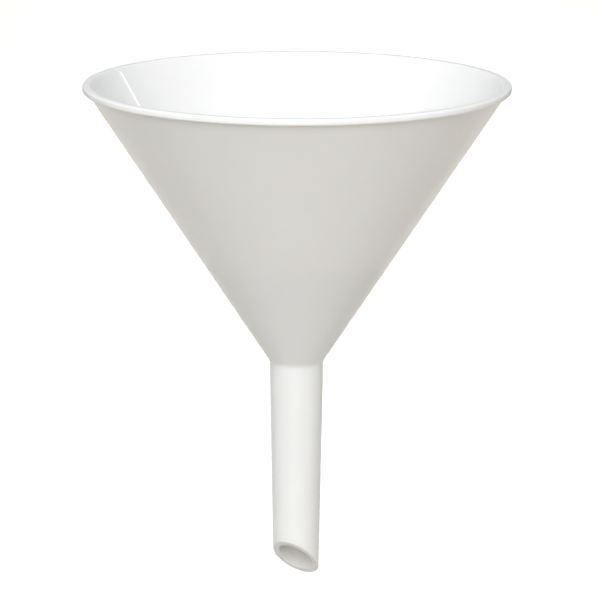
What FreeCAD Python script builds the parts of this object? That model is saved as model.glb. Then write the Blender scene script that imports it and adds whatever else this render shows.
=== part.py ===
import FreeCAD, Part
import Sketcher
import math
import os

# A conical laboratory filter funnel: one plastic moulding with a stem, a loose perforated
# plate that lies on a ledge in the bowl, and a disc of filter paper on the plate.
#
# Frame: +Z runs up the funnel's axis. The origin is on the axis in the plane of the neck,
# where the bowl meets the stem. The bevelled end of the stem faces -Y.

# ---------------------------------------------------------------- driving dimensions, mm
DIMENSIONS = {
    "rim_radius": 50.0,  # outside of the lip
    "rim_height": 66.8,  # neck plane to the top of the lip
    "lip_depth": 1.55,  # height of the lip's outer face
    "lip_rounding": 0.5,
    "lip_under_rounding": 0.45,
    "lip_root_rounding": 0.8,  # where the lip's underside meets the cone
    "bowl_top_radius": 48.9,  # outside of the cone, just under the lip
    "bowl_wall": 1.5,  # square to the wall
    "neck_radius": 6.4,
    "neck_rounding": 2.6,
    "stem_length": 49.5,  # neck plane to the middle of the bevelled end
    "stem_end_radius": 5.4,
    "stem_wall": 1.5,
    "bevel_slope": 45.0,  # degrees
    "bevel_reach": 13.0,  # from the axis to the edge of the wedge that the bevel takes off
    "rib_height": 0.45,  # how far a vent rib stands in from the wall
    "rib_root": 0.6,  # how deep its root reaches into the wall
    "rib_width": 0.55,
    "rib_bottom": 31.0,  # above the neck plane
    "rib_top": 66.0,
    "rib_count": 4,
    "ledge_height": 24.5,  # top of the ledge above the neck plane
    "ledge_bore_radius": 18.4,
    "plate_radius": 20.0,  # underside of the plate
    "plate_thickness": 3.0,
    "drain_hole_radius": 0.8,
    "drain_ring_pitch": 4.0,  # from one ring of holes to the next
    "holes_per_ring": 6,  # the first ring has this many, the second twice as many
    "paper_radius": 21.25,
    "paper_thickness": 0.2,
}
DRAIN_RINGS = 4
SHEET = "Dimensions"
PARTS_FOLDER = "parts"
TOUCH = 1e-4  # mm, for finding an edge by its radius and height

document = FreeCAD.newDocument("FilterFunnel")


def make_sheet():
    sheet = document.addObject("Spreadsheet::Sheet", SHEET)
    for row, (name, value) in enumerate(DIMENSIONS.items(), 1):
        sheet.set(f"A{row}", name)
        sheet.set(f"B{row}", str(value))
        sheet.setAlias(f"B{row}", name)
    document.recompute()


def linked(expression):
    """The expression with each dimension's name turned into a reference to its cell."""
    words = expression.split(" ")
    return " ".join(f"{SHEET}.{word}" if word in DIMENSIONS else word for word in words)


def bind(thing, prop, expression):
    thing.setExpression(prop, linked(expression))


def new_body(label):
    body = document.addObject("PartDesign::Body", label)
    body.Label = label
    return body


def origin_feature(body, role):
    return next(item for item in body.Origin.OriginFeatures if item.Role == role)


def new_sketch(body, name, plane):
    sketch = body.newObject("Sketcher::SketchObject", name)
    sketch.AttachmentSupport = [(origin_feature(body, plane), "")]
    sketch.MapMode = "FlatFace"
    return sketch


def add_outline(sketch, corners):
    """A closed run of straight lines through the corners; line n starts at corner n."""
    points = [FreeCAD.Vector(across, up, 0) for across, up in corners]
    ends = points[1:] + points[:1]
    first = sketch.GeometryCount
    for start, end in zip(points, ends):
        sketch.addGeometry(Part.LineSegment(start, end), False)
    lines = list(range(first, first + len(points)))
    for line, following in zip(lines, lines[1:] + lines[:1]):
        sketch.addConstraint(Sketcher.Constraint("Coincident", line, 2, following, 1))
    return lines


def hold(sketch, kind, line, expression, end=1):
    """Fixes one end of a line across ("DistanceX") or up ("DistanceY") from the origin."""
    drawn = sketch.getPoint(line, end)
    value = drawn.x if kind == "DistanceX" else drawn.y
    index = sketch.addConstraint(Sketcher.Constraint(kind, -1, 1, line, end, value))
    bind(sketch, f"Constraints[{index}]", expression)


def level(sketch, *lines):
    for line in lines:
        sketch.addConstraint(Sketcher.Constraint("Horizontal", line))


def upright(sketch, *lines):
    for line in lines:
        sketch.addConstraint(Sketcher.Constraint("Vertical", line))


def beside(sketch, line, wall, expression):
    """Keeps a line parallel to the wall line and a stated distance from it."""
    sketch.addConstraint(Sketcher.Constraint("Parallel", line, wall))
    distance = DIMENSIONS["bowl_wall"]
    index = sketch.addConstraint(Sketcher.Constraint("Distance", line, 1, wall, distance))
    bind(sketch, f"Constraints[{index}]", expression)


def add_circle(sketch, radius, across=None):
    """A circle on the sketch's X axis, at its origin or a bound distance across."""
    x = DIMENSIONS["drain_ring_pitch"] if across else 0
    circle = sketch.addGeometry(Part.Circle(FreeCAD.Vector(x, 0, 0), FreeCAD.Vector(0, 0, 1), 1))
    index = sketch.addConstraint(Sketcher.Constraint("Radius", circle, 1.0))
    bind(sketch, f"Constraints[{index}]", radius)
    if across:
        sketch.addConstraint(Sketcher.Constraint("PointOnObject", circle, 3, -1))
        index = sketch.addConstraint(Sketcher.Constraint("DistanceX", -1, 1, circle, 3, x))
        bind(sketch, f"Constraints[{index}]", across)
    else:
        sketch.addConstraint(Sketcher.Constraint("Coincident", circle, 3, -1, 1))


def new_feature(body, kind, name, profile=None):
    feature = body.newObject(f"PartDesign::{kind}", name)
    if profile:
        feature.Profile = profile
        profile.Visibility = False
    return feature


def repeat_around(body, name, feature, count):
    pattern = new_feature(body, "PolarPattern", name)
    pattern.Originals = [feature]
    pattern.Axis = (origin_feature(body, "Z_Axis"), [""])
    pattern.Angle = 360
    bind(pattern, "Occurrences", count)
    body.Tip = pattern
    document.recompute()
    return pattern


def ring_edge(feature, radius, height):
    """The name of the feature's circular edge with this radius at this height."""
    for number, edge in enumerate(feature.Shape.Edges, 1):
        circle = edge.Curve
        if not isinstance(circle, Part.Circle):
            continue
        if abs(circle.Radius - radius) < TOUCH and abs(circle.Center.z - height) < TOUCH:
            return f"Edge{number}"
    raise ValueError(f"no edge of radius {radius} at height {height}")


# ------------------------------------------------------------------------ funnel body
def bowl_line(sketch, line):
    """Holds a line on the outside of the cone, from the neck up to the lip's underside."""
    hold(sketch, "DistanceX", line, "neck_radius")
    sketch.addConstraint(Sketcher.Constraint("PointOnObject", line, 1, -1))


def make_funnel_body():
    dims = DIMENSIONS
    body = new_body("funnel_body")

    # half of the section, outside up and inside down
    under_lip = dims["rim_height"] - dims["lip_depth"]
    blank_end = -dims["stem_length"] - dims["neck_radius"]
    slope = (dims["bowl_top_radius"] - dims["neck_radius"]) / under_lip
    wall_across = dims["bowl_wall"] * math.hypot(1, slope)
    inner_neck = dims["neck_radius"] - dims["stem_wall"]

    def inner_radius(height):
        return dims["neck_radius"] + slope * height - wall_across

    def inner_height(radius):
        return (radius - inner_radius(0)) / slope

    section = new_sketch(body, "section", "XZ_Plane")
    stem, bowl, under, lip, rim, inside, ledge, ledge_face, throat, bore, end = add_outline(
        section,
        [
            (dims["stem_end_radius"], blank_end),
            (dims["neck_radius"], 0),
            (dims["bowl_top_radius"], under_lip),
            (dims["rim_radius"], under_lip),
            (dims["rim_radius"], dims["rim_height"]),
            (inner_radius(dims["rim_height"]), dims["rim_height"]),
            (inner_radius(dims["ledge_height"]), dims["ledge_height"]),
            (dims["ledge_bore_radius"], dims["ledge_height"]),
            (dims["ledge_bore_radius"], inner_height(dims["ledge_bore_radius"])),
            (inner_neck, inner_height(inner_neck)),
            (dims["stem_end_radius"] - dims["stem_wall"], blank_end),
        ],
    )
    level(section, under, rim, ledge, end)
    upright(section, lip, ledge_face)
    hold(section, "DistanceX", stem, "stem_end_radius")
    hold(section, "DistanceY", stem, "- stem_length - neck_radius")
    bowl_line(section, bowl)
    hold(section, "DistanceX", under, "bowl_top_radius")
    hold(section, "DistanceY", under, "rim_height - lip_depth")
    hold(section, "DistanceX", lip, "rim_radius")
    hold(section, "DistanceY", rim, "rim_height")
    beside(section, inside, bowl, "bowl_wall")
    hold(section, "DistanceY", ledge, "ledge_height")
    hold(section, "DistanceX", ledge_face, "ledge_bore_radius")
    beside(section, throat, bowl, "bowl_wall")
    hold(section, "DistanceX", bore, "neck_radius - stem_wall")
    hold(section, "DistanceX", end, "stem_end_radius - stem_wall")
    document.recompute()

    moulding = new_feature(body, "Revolution", "moulding", section)
    moulding.ReferenceAxis = (section, ["V_Axis"])
    moulding.Angle = 360
    document.recompute()

    rim_inside = section.Geometry[inside].StartPoint.x
    bore_top = section.Geometry[bore].StartPoint
    lip_edges = [
        ring_edge(moulding, dims["rim_radius"], dims["rim_height"]),
        ring_edge(moulding, rim_inside, dims["rim_height"]),
    ]
    lip_round = new_feature(body, "Fillet", "lip_round")
    lip_round.Base = (moulding, lip_edges)
    bind(lip_round, "Radius", "lip_rounding")
    document.recompute()

    lip_under_round = new_feature(body, "Fillet", "lip_under_round")
    lip_under_round.Base = (lip_round, [ring_edge(lip_round, dims["rim_radius"], under_lip)])
    bind(lip_under_round, "Radius", "lip_under_rounding")
    document.recompute()

    lip_root_round = new_feature(body, "Fillet", "lip_root_round")
    lip_root = ring_edge(lip_under_round, dims["bowl_top_radius"], under_lip)
    lip_root_round.Base = (lip_under_round, [lip_root])
    bind(lip_root_round, "Radius", "lip_root_rounding")
    document.recompute()

    neck_round = new_feature(body, "Fillet", "neck_round")
    neck_round.Base = (
        lip_root_round,
        [
            ring_edge(lip_root_round, dims["neck_radius"], 0),
            ring_edge(lip_root_round, bore_top.x, bore_top.y),
        ],
    )
    bind(neck_round, "Radius", "neck_rounding")
    document.recompute()

    # the end of the stem is cut off on the slant; the triangle is the wedge that goes
    reach = dims["bevel_reach"]
    rise = reach * math.tan(math.radians(dims["bevel_slope"]))
    offcut = new_sketch(body, "offcut", "YZ_Plane")
    slant, bottom, side = add_outline(
        offcut,
        [
            (-reach, rise - dims["stem_length"]),
            (reach, -rise - dims["stem_length"]),
            (-reach, -rise - dims["stem_length"]),
        ],
    )
    level(offcut, bottom)
    upright(offcut, side)
    hold(offcut, "DistanceX", slant, "- bevel_reach")
    hold(offcut, "DistanceY", slant, "bevel_reach * tan( bevel_slope ) - stem_length")
    hold(offcut, "DistanceX", bottom, "bevel_reach")
    hold(offcut, "DistanceY", bottom, "- bevel_reach * tan( bevel_slope ) - stem_length")
    document.recompute()
    bevel = new_feature(body, "Pocket", "bevel", offcut)
    bevel.SideType = "Symmetric"
    bevel.Type = "Length"
    bind(bevel, "Length", "2 * bevel_reach")
    document.recompute()

    # one vent rib, standing in from the wall along the bowl
    rib_side = new_sketch(body, "rib_side", "XZ_Plane")
    guide = rib_side.addGeometry(
        Part.LineSegment(
            FreeCAD.Vector(dims["neck_radius"], 0, 0),
            FreeCAD.Vector(dims["bowl_top_radius"], under_lip, 0),
        ),
        True,
    )
    bowl_line(rib_side, guide)
    hold(rib_side, "DistanceX", guide, "bowl_top_radius", end=2)
    hold(rib_side, "DistanceY", guide, "rim_height - lip_depth", end=2)
    low, high = dims["rib_bottom"], dims["rib_top"]
    root, top, crest, foot = add_outline(
        rib_side,
        [
            (inner_radius(low) + dims["rib_root"], low),
            (inner_radius(high) + dims["rib_root"], high),
            (inner_radius(high) - dims["rib_height"], high),
            (inner_radius(low) - dims["rib_height"], low),
        ],
    )
    level(rib_side, top, foot)
    beside(rib_side, root, guide, "bowl_wall - rib_root")
    beside(rib_side, crest, guide, "bowl_wall + rib_height")
    hold(rib_side, "DistanceY", root, "rib_bottom")
    hold(rib_side, "DistanceY", top, "rib_top")
    document.recompute()
    rib = new_feature(body, "Pad", "rib", rib_side)
    rib.SideType = "Symmetric"
    bind(rib, "Length", "rib_width")
    document.recompute()
    repeat_around(body, "ribs", rib, "rib_count")
    return body


# ------------------------------------------------------------------- perforated plate
def make_perforated_plate():
    body = new_body("perforated_plate")
    outline = new_sketch(body, "outline", "XY_Plane")
    add_circle(outline, "plate_radius")
    document.recompute()
    disc = new_feature(body, "Pad", "disc", outline)
    bind(disc, "Length", "plate_thickness")
    # the edge leans out with the wall
    lean = "atan( ( bowl_top_radius - neck_radius ) / ( rim_height - lip_depth ) )"
    bind(disc, "TaperAngle", lean)
    document.recompute()
    for ring in range(DRAIN_RINGS + 1):
        centre = new_sketch(body, f"hole_{ring}", "XY_Plane")
        add_circle(centre, "drain_hole_radius", f"{ring} * drain_ring_pitch" if ring else None)
        document.recompute()
        hole = new_feature(body, "Pocket", f"drain_{ring}", centre)
        hole.Type = "ThroughAll"
        hole.Reversed = True
        document.recompute()
        if ring:
            repeat_around(body, f"drain_ring_{ring}", hole, f"{ring} * holes_per_ring")
    bind(body, "Placement.Base.z", "ledge_height")
    return body


# ----------------------------------------------------------------------- filter paper
def make_filter_paper():
    body = new_body("filter_paper")
    outline = new_sketch(body, "outline_of_paper", "XY_Plane")
    add_circle(outline, "paper_radius")
    document.recompute()
    disc = new_feature(body, "Pad", "sheet_of_paper", outline)
    bind(disc, "Length", "paper_thickness")
    bind(body, "Placement.Base.z", "ledge_height + plate_thickness")
    return body


# ------------------------------------------------------------------------------ write
def check(bodies):
    for item in document.Objects:
        if {"Invalid", "Error"} & set(item.State):
            raise RuntimeError(f"{item.Label} failed: {item.State}")
    for body in bodies:
        if body.Shape.isNull() or not body.Shape.isValid():
            raise RuntimeError(f"{body.Label} has no valid shape")
        if len(body.Shape.Solids) != 1:
            raise RuntimeError(f"{body.Label} has {len(body.Shape.Solids)} solids")


make_sheet()
pieces = [make_funnel_body(), make_perforated_plate(), make_filter_paper()]
document.recompute()
check(pieces)
os.makedirs(PARTS_FOLDER, exist_ok=True)
for piece in pieces:
    piece.Shape.exportStep(f"{PARTS_FOLDER}/{piece.Label}.step")
    box = piece.Shape.BoundBox
    print(f"{piece.Label}: {piece.Shape.Volume:.1f} mm3, z {box.ZMin:.2f} to {box.ZMax:.2f}")
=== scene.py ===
"""A white plastic laboratory filter funnel, with its loose perforated plate and filter paper.

The frame is in metres, with +Z up the funnel's axis, the origin in the plane of the neck and the
stem's bevelled end facing -Y. Each piece is one closed mesh that stands for its CAD node.
"""

import math

import bmesh
import bpy
from mathutils import Matrix, Vector, noise


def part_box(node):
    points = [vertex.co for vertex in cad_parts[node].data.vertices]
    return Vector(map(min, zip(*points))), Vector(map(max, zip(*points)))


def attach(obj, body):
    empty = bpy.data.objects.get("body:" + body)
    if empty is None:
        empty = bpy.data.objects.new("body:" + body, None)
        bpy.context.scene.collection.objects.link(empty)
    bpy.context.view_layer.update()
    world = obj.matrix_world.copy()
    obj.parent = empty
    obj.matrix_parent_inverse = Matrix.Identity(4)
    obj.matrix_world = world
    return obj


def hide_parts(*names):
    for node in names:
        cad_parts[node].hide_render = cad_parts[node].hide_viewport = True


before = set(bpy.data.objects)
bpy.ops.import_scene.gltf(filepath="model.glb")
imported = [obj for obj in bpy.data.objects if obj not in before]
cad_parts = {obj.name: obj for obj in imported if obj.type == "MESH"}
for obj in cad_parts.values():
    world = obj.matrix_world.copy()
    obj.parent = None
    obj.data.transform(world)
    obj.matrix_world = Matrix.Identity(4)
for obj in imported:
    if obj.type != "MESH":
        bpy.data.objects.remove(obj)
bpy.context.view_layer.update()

MM = 0.001
SCENE = bpy.context.scene

# ------------------------------------------------------------ sizes, as the CAD model has them
body_low, body_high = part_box("funnel_body")
plate_low, plate_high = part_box("perforated_plate")
paper_low, paper_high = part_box("filter_paper")

RIM_RADIUS = min(body_high.x, body_high.y, -body_low.x, -body_low.y)
RIM_HEIGHT = body_high.z
LIP_DEPTH = 1.55 * MM
LIP_ROUNDING = 0.5 * MM
LIP_UNDER_ROUNDING = 0.45 * MM
LIP_ROOT_ROUNDING = 0.8 * MM
BOWL_TOP_RADIUS = 48.9 * MM
BOWL_WALL = 1.5 * MM
NECK_RADIUS = 6.4 * MM
NECK_ROUNDING = 2.6 * MM
STEM_LENGTH = 49.5 * MM
STEM_END_RADIUS = 5.4 * MM
STEM_END_DEPTH = STEM_LENGTH + NECK_RADIUS
STEM_WALL = 1.5 * MM
BEVEL_SLOPE = math.radians(45)
LEDGE_HEIGHT = plate_low.z
LEDGE_BORE_RADIUS = 18.4 * MM
RIB_HEIGHT = 0.45 * MM
RIB_WIDTH = 0.55 * MM
RIB_BOTTOM = 31.0 * MM
RIB_TOP = 66.0 * MM
RIB_COUNT = 4
PLATE_RADIUS = 20.0 * MM
HOLE_RADIUS = 0.8 * MM
DRAIN_RING_PITCH = 4.0 * MM
DRAIN_RINGS = 4
HOLES_PER_RING = 6

UNDER_LIP = RIM_HEIGHT - LIP_DEPTH
WALL_SLOPE = (BOWL_TOP_RADIUS - NECK_RADIUS) / UNDER_LIP
STEM_SLOPE = (NECK_RADIUS - STEM_END_RADIUS) / STEM_END_DEPTH
INNER_NECK_RADIUS = NECK_RADIUS - STEM_WALL

# roundings too small for the CAD model, which a moulding still has
EDGE_ROUNDING = 0.2 * MM
LEDGE_ROUNDING = 0.35 * MM


def inner_radius(height):
    """Radius of the bowl's inner wall at a height."""
    across = BOWL_WALL * math.hypot(1, WALL_SLOPE)
    return NECK_RADIUS + WALL_SLOPE * height - across


def inner_height(radius):
    """Height at which the bowl's inner wall has a radius."""
    return (radius - inner_radius(0)) / WALL_SLOPE


# ------------------------------------------------------------------------------ mesh helpers
def new_object(name, mesh):
    piece = bpy.data.objects.new(name, mesh)
    SCENE.collection.objects.link(piece)
    return piece


def rounded(corners, steps):
    """A closed section through (radius, height, rounding) corners, each rounding an arc.

    The result is a list of stretches: a stretch is the points of one corner, one or an arc.
    """
    stretches = []
    for index, (radius, height, rounding) in enumerate(corners):
        corner = Vector((radius, height))
        if not rounding:
            stretches.append([corner])
            continue
        before = (Vector(corners[index - 1][:2]) - corner).normalized()
        after = (Vector(corners[(index + 1) % len(corners)][:2]) - corner).normalized()
        half = before.angle(after) / 2
        centre = corner + (before + after).normalized() * rounding / math.sin(half)
        start = corner + before * rounding / math.tan(half) - centre
        end = corner + after * rounding / math.tan(half) - centre
        shares = [step / steps for step in range(steps + 1)]
        stretches.append([centre + start.slerp(end, share) * rounding for share in shares])
    return stretches


def joined(stretches, cuts):
    """All points of a section, with the straight run after each stretch cut as stated."""
    points = []
    for index, stretch in enumerate(stretches):
        following = stretches[(index + 1) % len(stretches)][0]
        points += stretch
        count = cuts[index]
        points += [stretch[-1].lerp(following, cut / count) for cut in range(1, count)]
    return points


def smooth(value):
    value = min(max(value, 0.0), 1.0)
    return value * value * (3 - 2 * value)


# ------------------------------------------------------------------------------- funnel body
ARC_STEPS = 8
RING_SPACING = 2.0 * MM
COLUMNS_BETWEEN_RIBS = 40
RIB_END = 0.5 * MM  # over which a rib rises from the wall
# where the columns beside a rib's middle line lie, in half-widths of the rib
RIB_COLUMNS = (0.5, 0.8, 0.95, 1.0, 1.4, 2.4)
BEVEL_ROUNDS = 6  # enough for the cut's height on the tapered stem to settle


def stem_radius(height):
    return NECK_RADIUS + STEM_SLOPE * height


def bevel_height(azimuth, wall):
    """Height of the slanted cut where it meets the stem's surface, a wall's depth inside."""
    height = -STEM_LENGTH
    for _ in range(BEVEL_ROUNDS):
        radius = stem_radius(height) - wall
        height = -STEM_LENGTH - math.tan(BEVEL_SLOPE) * radius * math.sin(azimuth)
    return height


def funnel_section(azimuth):
    """The moulding's section at an azimuth, from the middle of the cut face round to it."""
    outer_end = bevel_height(azimuth, 0)
    inner_end = bevel_height(azimuth, STEM_WALL)
    outer = (stem_radius(outer_end), outer_end)
    inner = (stem_radius(inner_end) - STEM_WALL, inner_end)
    middle = ((outer[0] + inner[0]) / 2, (outer[1] + inner[1]) / 2)
    wall_points = [
        (inner_radius(height), height, 0)
        for height in (RIB_TOP, RIB_TOP - RIB_END / 2, RIB_TOP - RIB_END)
        + (RIB_BOTTOM + RIB_END, RIB_BOTTOM + RIB_END / 2, RIB_BOTTOM)
    ]
    corners = [
        (*middle, 0),
        (*outer, EDGE_ROUNDING),
        (NECK_RADIUS, 0, NECK_ROUNDING),
        (BOWL_TOP_RADIUS, UNDER_LIP, LIP_ROOT_ROUNDING),
        (RIM_RADIUS, UNDER_LIP, LIP_UNDER_ROUNDING),
        (RIM_RADIUS, RIM_HEIGHT, LIP_ROUNDING),
        (inner_radius(RIM_HEIGHT), RIM_HEIGHT, LIP_ROUNDING),
        *wall_points,
        (inner_radius(LEDGE_HEIGHT), LEDGE_HEIGHT, EDGE_ROUNDING),
        (LEDGE_BORE_RADIUS, LEDGE_HEIGHT, LEDGE_ROUNDING),
        (LEDGE_BORE_RADIUS, inner_height(LEDGE_BORE_RADIUS), LEDGE_ROUNDING),
        (INNER_NECK_RADIUS, inner_height(INNER_NECK_RADIUS), NECK_ROUNDING),
        (*inner, EDGE_ROUNDING),
    ]
    return rounded(corners, ARC_STEPS)


def section_cuts():
    """How many parts each straight run of the section is cut into."""
    stretches = funnel_section(0)
    followers = stretches[1:] + stretches[:1]
    return [
        max(1, math.ceil((after[0] - here[-1]).length / RING_SPACING))
        for here, after in zip(stretches, followers)
    ]


def funnel_columns():
    """(rib azimuth, offset in half-widths) or (azimuth, None) for each column round the axis."""
    step = 2 * math.pi / RIB_COUNT
    columns = []
    for rib in range(RIB_COUNT):
        azimuth = rib * step
        offsets = [-share for share in reversed(RIB_COLUMNS)] + [0] + list(RIB_COLUMNS)
        columns += [(azimuth, offset) for offset in offsets]
        columns += [
            (azimuth + step * count / COLUMNS_BETWEEN_RIBS, None)
            for count in range(1, COLUMNS_BETWEEN_RIBS)
        ]
    return columns


def rib_lift(offset, height):
    """How far a rib stands in from the wall, offset half-widths from its middle line."""
    if offset is None or abs(offset) >= 1:
        return 0.0
    crest = (1 - abs(offset) ** 3) ** (1 / 3)
    ends = smooth((RIB_TOP - height) / RIB_END) * smooth((height - RIB_BOTTOM) / RIB_END)
    return RIB_HEIGHT * crest * ends


def make_funnel():
    cuts = section_cuts()
    inward = Vector((-1, WALL_SLOPE)).normalized()
    narrow = inner_radius(RIB_BOTTOM)
    build = bmesh.new()
    columns = []
    for azimuth, offset in funnel_columns():
        points = joined(funnel_section(azimuth), cuts)
        rim = max(range(len(points)), key=lambda index: points[index].y)
        column = []
        for index, point in enumerate(points):
            radius, height = point
            if index > rim and height > LEDGE_HEIGHT:
                radius, height = point + inward * rib_lift(offset, height)
            aside = (offset or 0) * RIB_WIDTH / 2
            turn = azimuth + math.atan(aside / max(radius, narrow))
            place = (radius * math.cos(turn), radius * math.sin(turn), height)
            column.append(build.verts.new(place))
        columns.append(column)
    for here, beside in zip(columns, columns[1:] + columns[:1]):
        for index, vertex in enumerate(here):
            above = (index + 1) % len(here)
            face = build.faces.new((vertex, beside[index], beside[above], here[above]))
            face.smooth = True
    bmesh.ops.recalc_face_normals(build, faces=build.faces)
    mesh = bpy.data.meshes.new("funnel")
    build.to_mesh(mesh)
    build.free()
    return new_object("funnel", mesh)


# --------------------------------------------------------------------------- perforated plate
PLATE_COLUMNS = 144
HOLE_COLUMNS = 24
PLATE_EDGE_ROUNDING = 0.18 * MM
PLATE_EDGE_ANGLE = math.radians(30)  # a sharper fold than this is rounded
PLATE_CREASE_ANGLE = math.radians(40)


def circle_loop(build, centre, radius, count):
    """A ring of vertices joined by edges, at the plate's underside."""
    ring = []
    for index in range(count):
        angle = 2 * math.pi * index / count
        offset = Vector((radius * math.cos(angle), radius * math.sin(angle), 0))
        ring.append(build.verts.new(centre + offset))
    return [build.edges.new(pair) for pair in zip(ring, ring[1:] + ring[:1])]


def hole_centres():
    centres = [Vector((0, 0, plate_low.z))]
    for ring in range(1, DRAIN_RINGS + 1):
        count = ring * HOLES_PER_RING
        for index in range(count):
            angle = 2 * math.pi * index / count
            across = ring * DRAIN_RING_PITCH
            x, y = across * math.cos(angle), across * math.sin(angle)
            centres.append(Vector((x, y, plate_low.z)))
    return centres


def make_plate():
    build = bmesh.new()
    edges = circle_loop(build, Vector((0, 0, plate_low.z)), PLATE_RADIUS, PLATE_COLUMNS)
    for centre in hole_centres():
        edges += circle_loop(build, centre, HOLE_RADIUS, HOLE_COLUMNS)
    bmesh.ops.triangle_fill(build, edges=edges, use_beauty=True)
    thickness = plate_high.z - plate_low.z
    raised = bmesh.ops.extrude_face_region(build, geom=build.faces[:])["geom"]
    for vertex in (item for item in raised if isinstance(item, bmesh.types.BMVert)):
        vertex.co.z += thickness
        across = vertex.co.xy.length
        if across > PLATE_RADIUS - HOLE_RADIUS:
            vertex.co.xy *= (PLATE_RADIUS + WALL_SLOPE * thickness) / across
    bmesh.ops.recalc_face_normals(build, faces=build.faces)
    sharp = [edge for edge in build.edges if edge.calc_face_angle(0) > PLATE_EDGE_ANGLE]
    bmesh.ops.bevel(
        build, geom=sharp, offset=PLATE_EDGE_ROUNDING, segments=3, profile=0.5, affect="EDGES"
    )
    for face in build.faces:
        face.smooth = True
    mesh = bpy.data.meshes.new("plate")
    build.to_mesh(mesh)
    build.free()
    mesh.set_sharp_from_angle(angle=PLATE_CREASE_ANGLE)
    piece = new_object("plate", mesh)
    weighted = piece.modifiers.new("weighted", "WEIGHTED_NORMAL")
    weighted.keep_sharp = True
    return piece


# ------------------------------------------------------------------------------- filter paper
PAPER_RINGS = 40
PAPER_COLUMNS = 160
PAPER_RIPPLE = 0.05 * MM
PAPER_WAVE = 11 * MM
PAPER_CREASE_ANGLE = math.radians(60)


def paper_rise(x, y):
    """A loose sheet's slight waviness, which keeps it on or above the plate."""
    wave = noise.noise(Vector((x, y, 0)) / PAPER_WAVE) + 0.5
    return PAPER_RIPPLE * max(wave, 0)


def bridge(build, inner, outer):
    """Faces between two rings of the same number of vertices."""
    for index, vertex in enumerate(inner):
        after = (index + 1) % len(inner)
        build.faces.new((vertex, outer[index], outer[after], inner[after]))


def paper_ring(build, radius, level):
    """A ring of vertices that follows the sheet's waviness."""
    ring = []
    for column in range(PAPER_COLUMNS):
        angle = 2 * math.pi * column / PAPER_COLUMNS
        x, y = radius * math.cos(angle), radius * math.sin(angle)
        ring.append(build.verts.new((x, y, level + paper_rise(x, y))))
    return ring


def make_paper():
    radius = paper_high.x
    rounding = (paper_high.z - paper_low.z) / 4
    spans = [radius * ring / PAPER_RINGS for ring in range(1, PAPER_RINGS)]
    spans.append(radius - rounding)
    build = bmesh.new()
    layers = []
    for level in (paper_low.z, paper_high.z):
        centre = build.verts.new((0, 0, level + paper_rise(0, 0)))
        rings = []
        for across in spans:
            rings.append(paper_ring(build, across, level))
        layers.append(rings)
        for first, second in zip(rings[0], rings[0][1:] + rings[0][:1]):
            build.faces.new((centre, first, second))
        for inner, outer in zip(rings, rings[1:]):
            bridge(build, inner, outer)
    edge = paper_ring(build, radius, (paper_low.z + paper_high.z) / 2)
    bridge(build, layers[0][-1], edge)
    bridge(build, edge, layers[1][-1])
    bmesh.ops.recalc_face_normals(build, faces=build.faces)
    for face in build.faces:
        face.smooth = True
    mesh = bpy.data.meshes.new("paper")
    build.to_mesh(mesh)
    build.free()
    mesh.set_sharp_from_angle(angle=PAPER_CREASE_ANGLE)
    return new_object("paper", mesh)


# ---------------------------------------------------------------------------------- materials
class Nodes:
    """A material's node tree, with short calls to add and link its nodes."""

    def __init__(self, name):
        self.material = bpy.data.materials.new(name)
        self.material.use_nodes = True
        self.tree = self.material.node_tree
        self.shader = self.tree.nodes["Principled BSDF"]

    def add(self, kind, inputs=None, **settings):
        node = self.tree.nodes.new(f"ShaderNode{kind}")
        for name, value in settings.items():
            setattr(node, name, value)
        for name, value in (inputs or {}).items():
            if isinstance(value, bpy.types.NodeSocket):
                self.tree.links.new(value, node.inputs[name])
            else:
                node.inputs[name].default_value = value
        return node

    def noise(self, vector, size, detail=3.0, roughness=0.5):
        """Noise whose features are about the stated size in metres."""
        inputs = {"Vector": vector, "Scale": 1 / size, "Detail": detail, "Roughness": roughness}
        return self.add("TexNoise", inputs).outputs["Fac"]

    def span(self, value, low, high):
        """A 0 to 1 value turned into one from low to high."""
        return self.add("MapRange", {"Value": value, "To Min": low, "To Max": high}).outputs[0]

    def mix(self, factor, dark, light):
        ramp = self.add("Mix", data_type="RGBA")
        self.tree.links.new(factor, ramp.inputs["Factor"])
        ramp.inputs["A"].default_value = (*dark, 1)
        ramp.inputs["B"].default_value = (*light, 1)
        return ramp.outputs["Result"]

    def bump(self, height, depth, below=None):
        """A bump whose full height is the stated depth in metres."""
        inputs = {"Height": height, "Distance": depth, "Strength": 1.0}
        if below is not None:
            inputs["Normal"] = below
        return self.add("Bump", inputs).outputs["Normal"]

    def feed(self, **links):
        for name, output in links.items():
            self.tree.links.new(output, self.shader.inputs[name.replace("_", " ")])

    def fix(self, **values):
        for name, value in values.items():
            self.shader.inputs[name.replace("_", " ")].default_value = value


def object_place(nodes):
    return nodes.add("TexCoord").outputs["Object"]


# a noise has a size across, and a scale under 1 along the way it is drawn out
FLOW_SIZE = 4 * MM
FLOW_DRAWN = 0.12
FLOW_DEPTH = 0.03 * MM
POLISH_SIZE = 1.2 * MM
POLISH_DRAWN = 0.3
POLISH_SWING = 0.04
CLOUD_SIZE = 14 * MM
GRAIN_SIZE = 0.25 * MM
GRAIN_DEPTH = 0.006 * MM
SCATTER_DISTANCE = 1.2 * MM
SCATTER_SHARES = (1.0, 0.92, 0.82)
POLYPROPYLENE_IOR = 1.49


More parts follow.
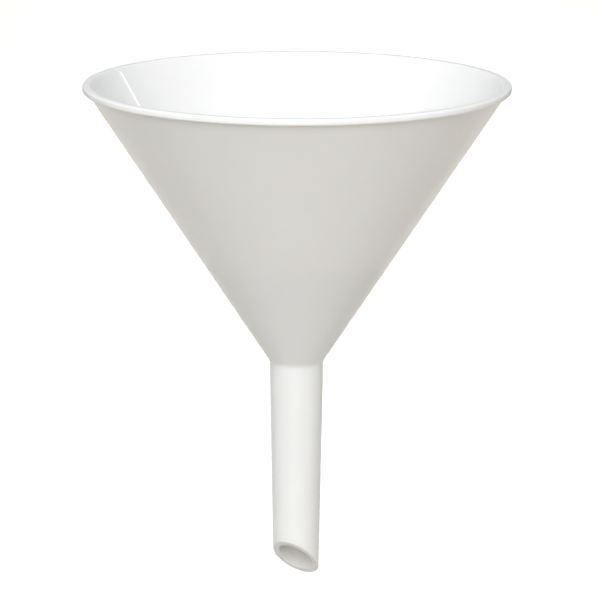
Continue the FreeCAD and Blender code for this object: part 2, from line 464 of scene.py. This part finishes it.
def moulded_plastic(name, dark, light, gloss, scatter):
    """Satin polypropylene: it lets a little light through and shows how it was moulded."""
    nodes = Nodes(name)
    place = object_place(nodes)
    # flow marks run up the wall from the neck; the mould's polish changes in bands round it
    along = nodes.add("Mapping", {"Vector": place, "Scale": (1, 1, FLOW_DRAWN)}).outputs[0]
    around_scale = (POLISH_DRAWN, POLISH_DRAWN, 1)
    around = nodes.add("Mapping", {"Vector": place, "Scale": around_scale}).outputs[0]
    flow = nodes.noise(along, FLOW_SIZE, detail=2)
    polish = nodes.noise(around, POLISH_SIZE, detail=1)
    cloud = nodes.noise(place, CLOUD_SIZE, detail=4)
    grain = nodes.noise(place, GRAIN_SIZE, detail=2)
    tone = nodes.add("Math", {0: cloud, 1: flow}, operation="ADD").outputs[0]
    half = nodes.add("Math", {0: tone, 1: 0.5}, operation="MULTIPLY").outputs[0]
    surface = nodes.bump(grain, GRAIN_DEPTH)
    surface = nodes.bump(flow, FLOW_DEPTH, below=surface)
    nodes.feed(
        Base_Color=nodes.mix(nodes.span(half, 0.0, 1.0), dark, light),
        Roughness=nodes.span(polish, gloss - POLISH_SWING, gloss + POLISH_SWING),
        Normal=surface,
    )
    nodes.fix(
        Subsurface_Weight=scatter,
        Subsurface_Radius=SCATTER_SHARES,
        Subsurface_Scale=SCATTER_DISTANCE,
        IOR=POLYPROPYLENE_IOR,
        Specular_IOR_Level=0.5,
    )
    return nodes.material


FIBRE_ANGLES = (0.3, 1.5, 2.6)
FIBRE_WIDTH = 0.12 * MM
FIBRE_DRAWN = 0.12
FIBRE_DEPTH = 0.05 * MM
PULP_SIZE = 3.5 * MM
PULP_DEPTH = 0.06 * MM
PAPER_DARK = (0.78, 0.775, 0.75)
PAPER_LIGHT = (0.93, 0.93, 0.91)


def filter_paper():
    """Soft unsized paper: matted fibres, cloudy against the light, with no shine."""
    nodes = Nodes("filter_paper")
    place = object_place(nodes)
    cloud = nodes.noise(place, PULP_SIZE, detail=4, roughness=0.6)
    fibres = []
    for angle in FIBRE_ANGLES:
        mapping = {"Vector": place, "Rotation": (0, 0, angle), "Scale": (1, FIBRE_DRAWN, 1)}
        turned = nodes.add("Mapping", mapping).outputs[0]
        fibres.append(nodes.noise(turned, FIBRE_WIDTH, detail=2, roughness=0.6))
    mat = fibres[0]
    for layer in fibres[1:]:
        mat = nodes.add("Math", {0: mat, 1: layer}, operation="MAXIMUM").outputs[0]
    shade = nodes.add("Math", {0: mat, 1: cloud}, operation="MULTIPLY").outputs[0]
    surface = nodes.bump(mat, FIBRE_DEPTH)
    nodes.feed(
        Base_Color=nodes.mix(nodes.span(shade, -0.2, 2.2), PAPER_DARK, PAPER_LIGHT),
        Normal=nodes.bump(cloud, PULP_DEPTH, below=surface),
    )
    nodes.fix(Roughness=0.95, Sheen_Weight=0.25, Sheen_Roughness=0.6, Specular_IOR_Level=0.2)
    nodes.fix(Subsurface_Weight=0.3, Subsurface_Radius=(1, 1, 1), Subsurface_Scale=0.3 * MM)
    return nodes.material


def studio_paper():
    """The floor's matt paper, a little uneven in tone."""
    nodes = Nodes("studio_paper")
    tone = nodes.noise(object_place(nodes), 200 * MM, detail=3)
    nodes.feed(Base_Color=nodes.mix(tone, (0.52, 0.49, 0.445), (0.55, 0.52, 0.475)))
    nodes.fix(Roughness=0.9, Specular_IOR_Level=0.1)
    return nodes.material


# ---------------------------------------------------------------------- floor, light and camera
CAMERA_AZIMUTH = 26.5
CAMERA_ELEVATION = 13.4
CAMERA_DISTANCE = 700 * MM
CAMERA_ROLL = 0.15
CAMERA_AIM = (0.8 * MM, 14.7 * MM)  # across the view from the axis, and above the neck
CAMERA_SENSOR = 36  # millimetres, as is the lens
CAMERA_LENS = 177.07
FLOOR_DROP = 300 * MM  # below the tip of the stem
FLOOR_SIZE = 16.0
LIGHT_COLOUR = (0.95, 0.975, 1.0)
WARM_COLOUR = (1.0, 0.88, 0.74)
AMBIENT_STRENGTH = 0.46
LIGHT_AIM = (0, 0, 30 * MM)
STRIP_SIZE = (1.2, 3.6)
STRIP_BEHIND = 2.3
STRIP_HEIGHT = 0.6
STRIP_SPREAD = 80


def view_axes(azimuth, elevation):
    """(right, up, towards the viewer) for someone who looks at the object from there."""
    turn, rise = math.radians(azimuth), math.radians(elevation)
    right = Vector((math.cos(turn), math.sin(turn), 0))
    back = Vector(
        (math.sin(turn) * math.cos(rise), -math.cos(turn) * math.cos(rise), math.sin(rise))
    )
    return right, back.cross(right), back


def make_camera():
    right, up, back = view_axes(CAMERA_AZIMUTH, CAMERA_ELEVATION)
    across, above = CAMERA_AIM
    data = bpy.data.cameras.new("camera")
    data.sensor_width = CAMERA_SENSOR
    data.lens = CAMERA_LENS
    data.clip_start, data.clip_end = 0.01, 50
    camera = new_object("camera", data)
    roll = Matrix.Rotation(math.radians(CAMERA_ROLL), 3, "Z")
    turned = Matrix((right, up, back)).transposed() @ roll
    aim = right * across + Vector((0, 0, above))
    camera.matrix_world = Matrix.Translation(aim + back * CAMERA_DISTANCE) @ turned.to_4x4()
    SCENE.camera = camera


def make_softbox(name, azimuth, elevation, distance, size, power, colour=LIGHT_COLOUR):
    """A square area light seen from the object at an azimuth from the camera's own."""
    data = bpy.data.lights.new(name, "AREA")
    data.shape = "SQUARE"
    data.size = size
    data.energy = power
    data.color = colour
    light = new_object(name, data)
    back = view_axes(CAMERA_AZIMUTH + azimuth, elevation)[2]
    light.location = Vector(LIGHT_AIM) + back * distance
    light.rotation_mode = "QUATERNION"
    light.rotation_quaternion = back.to_track_quat("Z", "Y")
    light.visible_camera = False


def make_strip(name, power):
    """A rectangular light that hangs over the floor behind the object and faces down."""
    data = bpy.data.lights.new(name, "AREA")
    data.shape = "RECTANGLE"
    data.size, data.size_y = STRIP_SIZE
    data.energy = power
    data.color = LIGHT_COLOUR
    data.spread = math.radians(STRIP_SPREAD)
    light = new_object(name, data)
    back = view_axes(CAMERA_AZIMUTH, 0)[2]
    light.location = -back * STRIP_BEHIND + Vector((0, 0, STRIP_HEIGHT))
    light.rotation_euler.z = math.radians(CAMERA_AZIMUTH)
    light.visible_camera = False


def make_studio():
    SCENE.view_settings.view_transform = "Standard"
    world = bpy.data.worlds.new("studio")
    SCENE.world = world
    world.use_nodes = True
    background = world.node_tree.nodes["Background"]
    background.inputs["Color"].default_value = (*LIGHT_COLOUR, 1)
    background.inputs["Strength"].default_value = AMBIENT_STRENGTH
    bpy.ops.mesh.primitive_plane_add(size=FLOOR_SIZE, location=(0, 0, body_low.z - FLOOR_DROP))
    floor = bpy.context.object
    floor.name = "floor"
    floor.data.materials.append(studio_paper())
    # for each: azimuth from the camera's, elevation, distance, size and power
    make_softbox("key", 0, 40, 1.6, 0.9, 12.0)
    make_softbox("front", 0, 25, 1.6, 0.9, 6.2)
    make_softbox("left", -60, 45, 1.6, 0.9, 2.9)
    make_softbox("overhead", -10, 60, 1.2, 0.5, 1.5)
    make_softbox("left_low", -75, 12, 1.6, 0.9, 1.6)
    make_softbox("low", 0, -18, 0.8, 0.24, 0.19)
    make_softbox("right_low", 55, -8, 1.1, 0.3, 0.55, WARM_COLOUR)
    # a long light over the floor behind the object, which whitens what the camera sees there
    make_strip("backdrop", 29)


# ------------------------------------------------------------------------------------ assembly
def finish_piece(piece, body, node, material):
    piece.data.materials.clear()
    piece.data.materials.append(material)
    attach(piece, body)
    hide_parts(node)


finish_piece(
    make_funnel(),
    "funnel",
    "funnel_body",
    moulded_plastic("funnel_plastic", (0.83, 0.82, 0.80), (0.86, 0.855, 0.845), 0.33, 0.9),
)
finish_piece(
    make_plate(),
    "plate",
    "perforated_plate",
    moulded_plastic("plate_plastic", (0.79, 0.785, 0.765), (0.85, 0.85, 0.84), 0.45, 0.4),
)
finish_piece(make_paper(), "paper", "filter_paper", filter_paper())

make_camera()
make_studio()
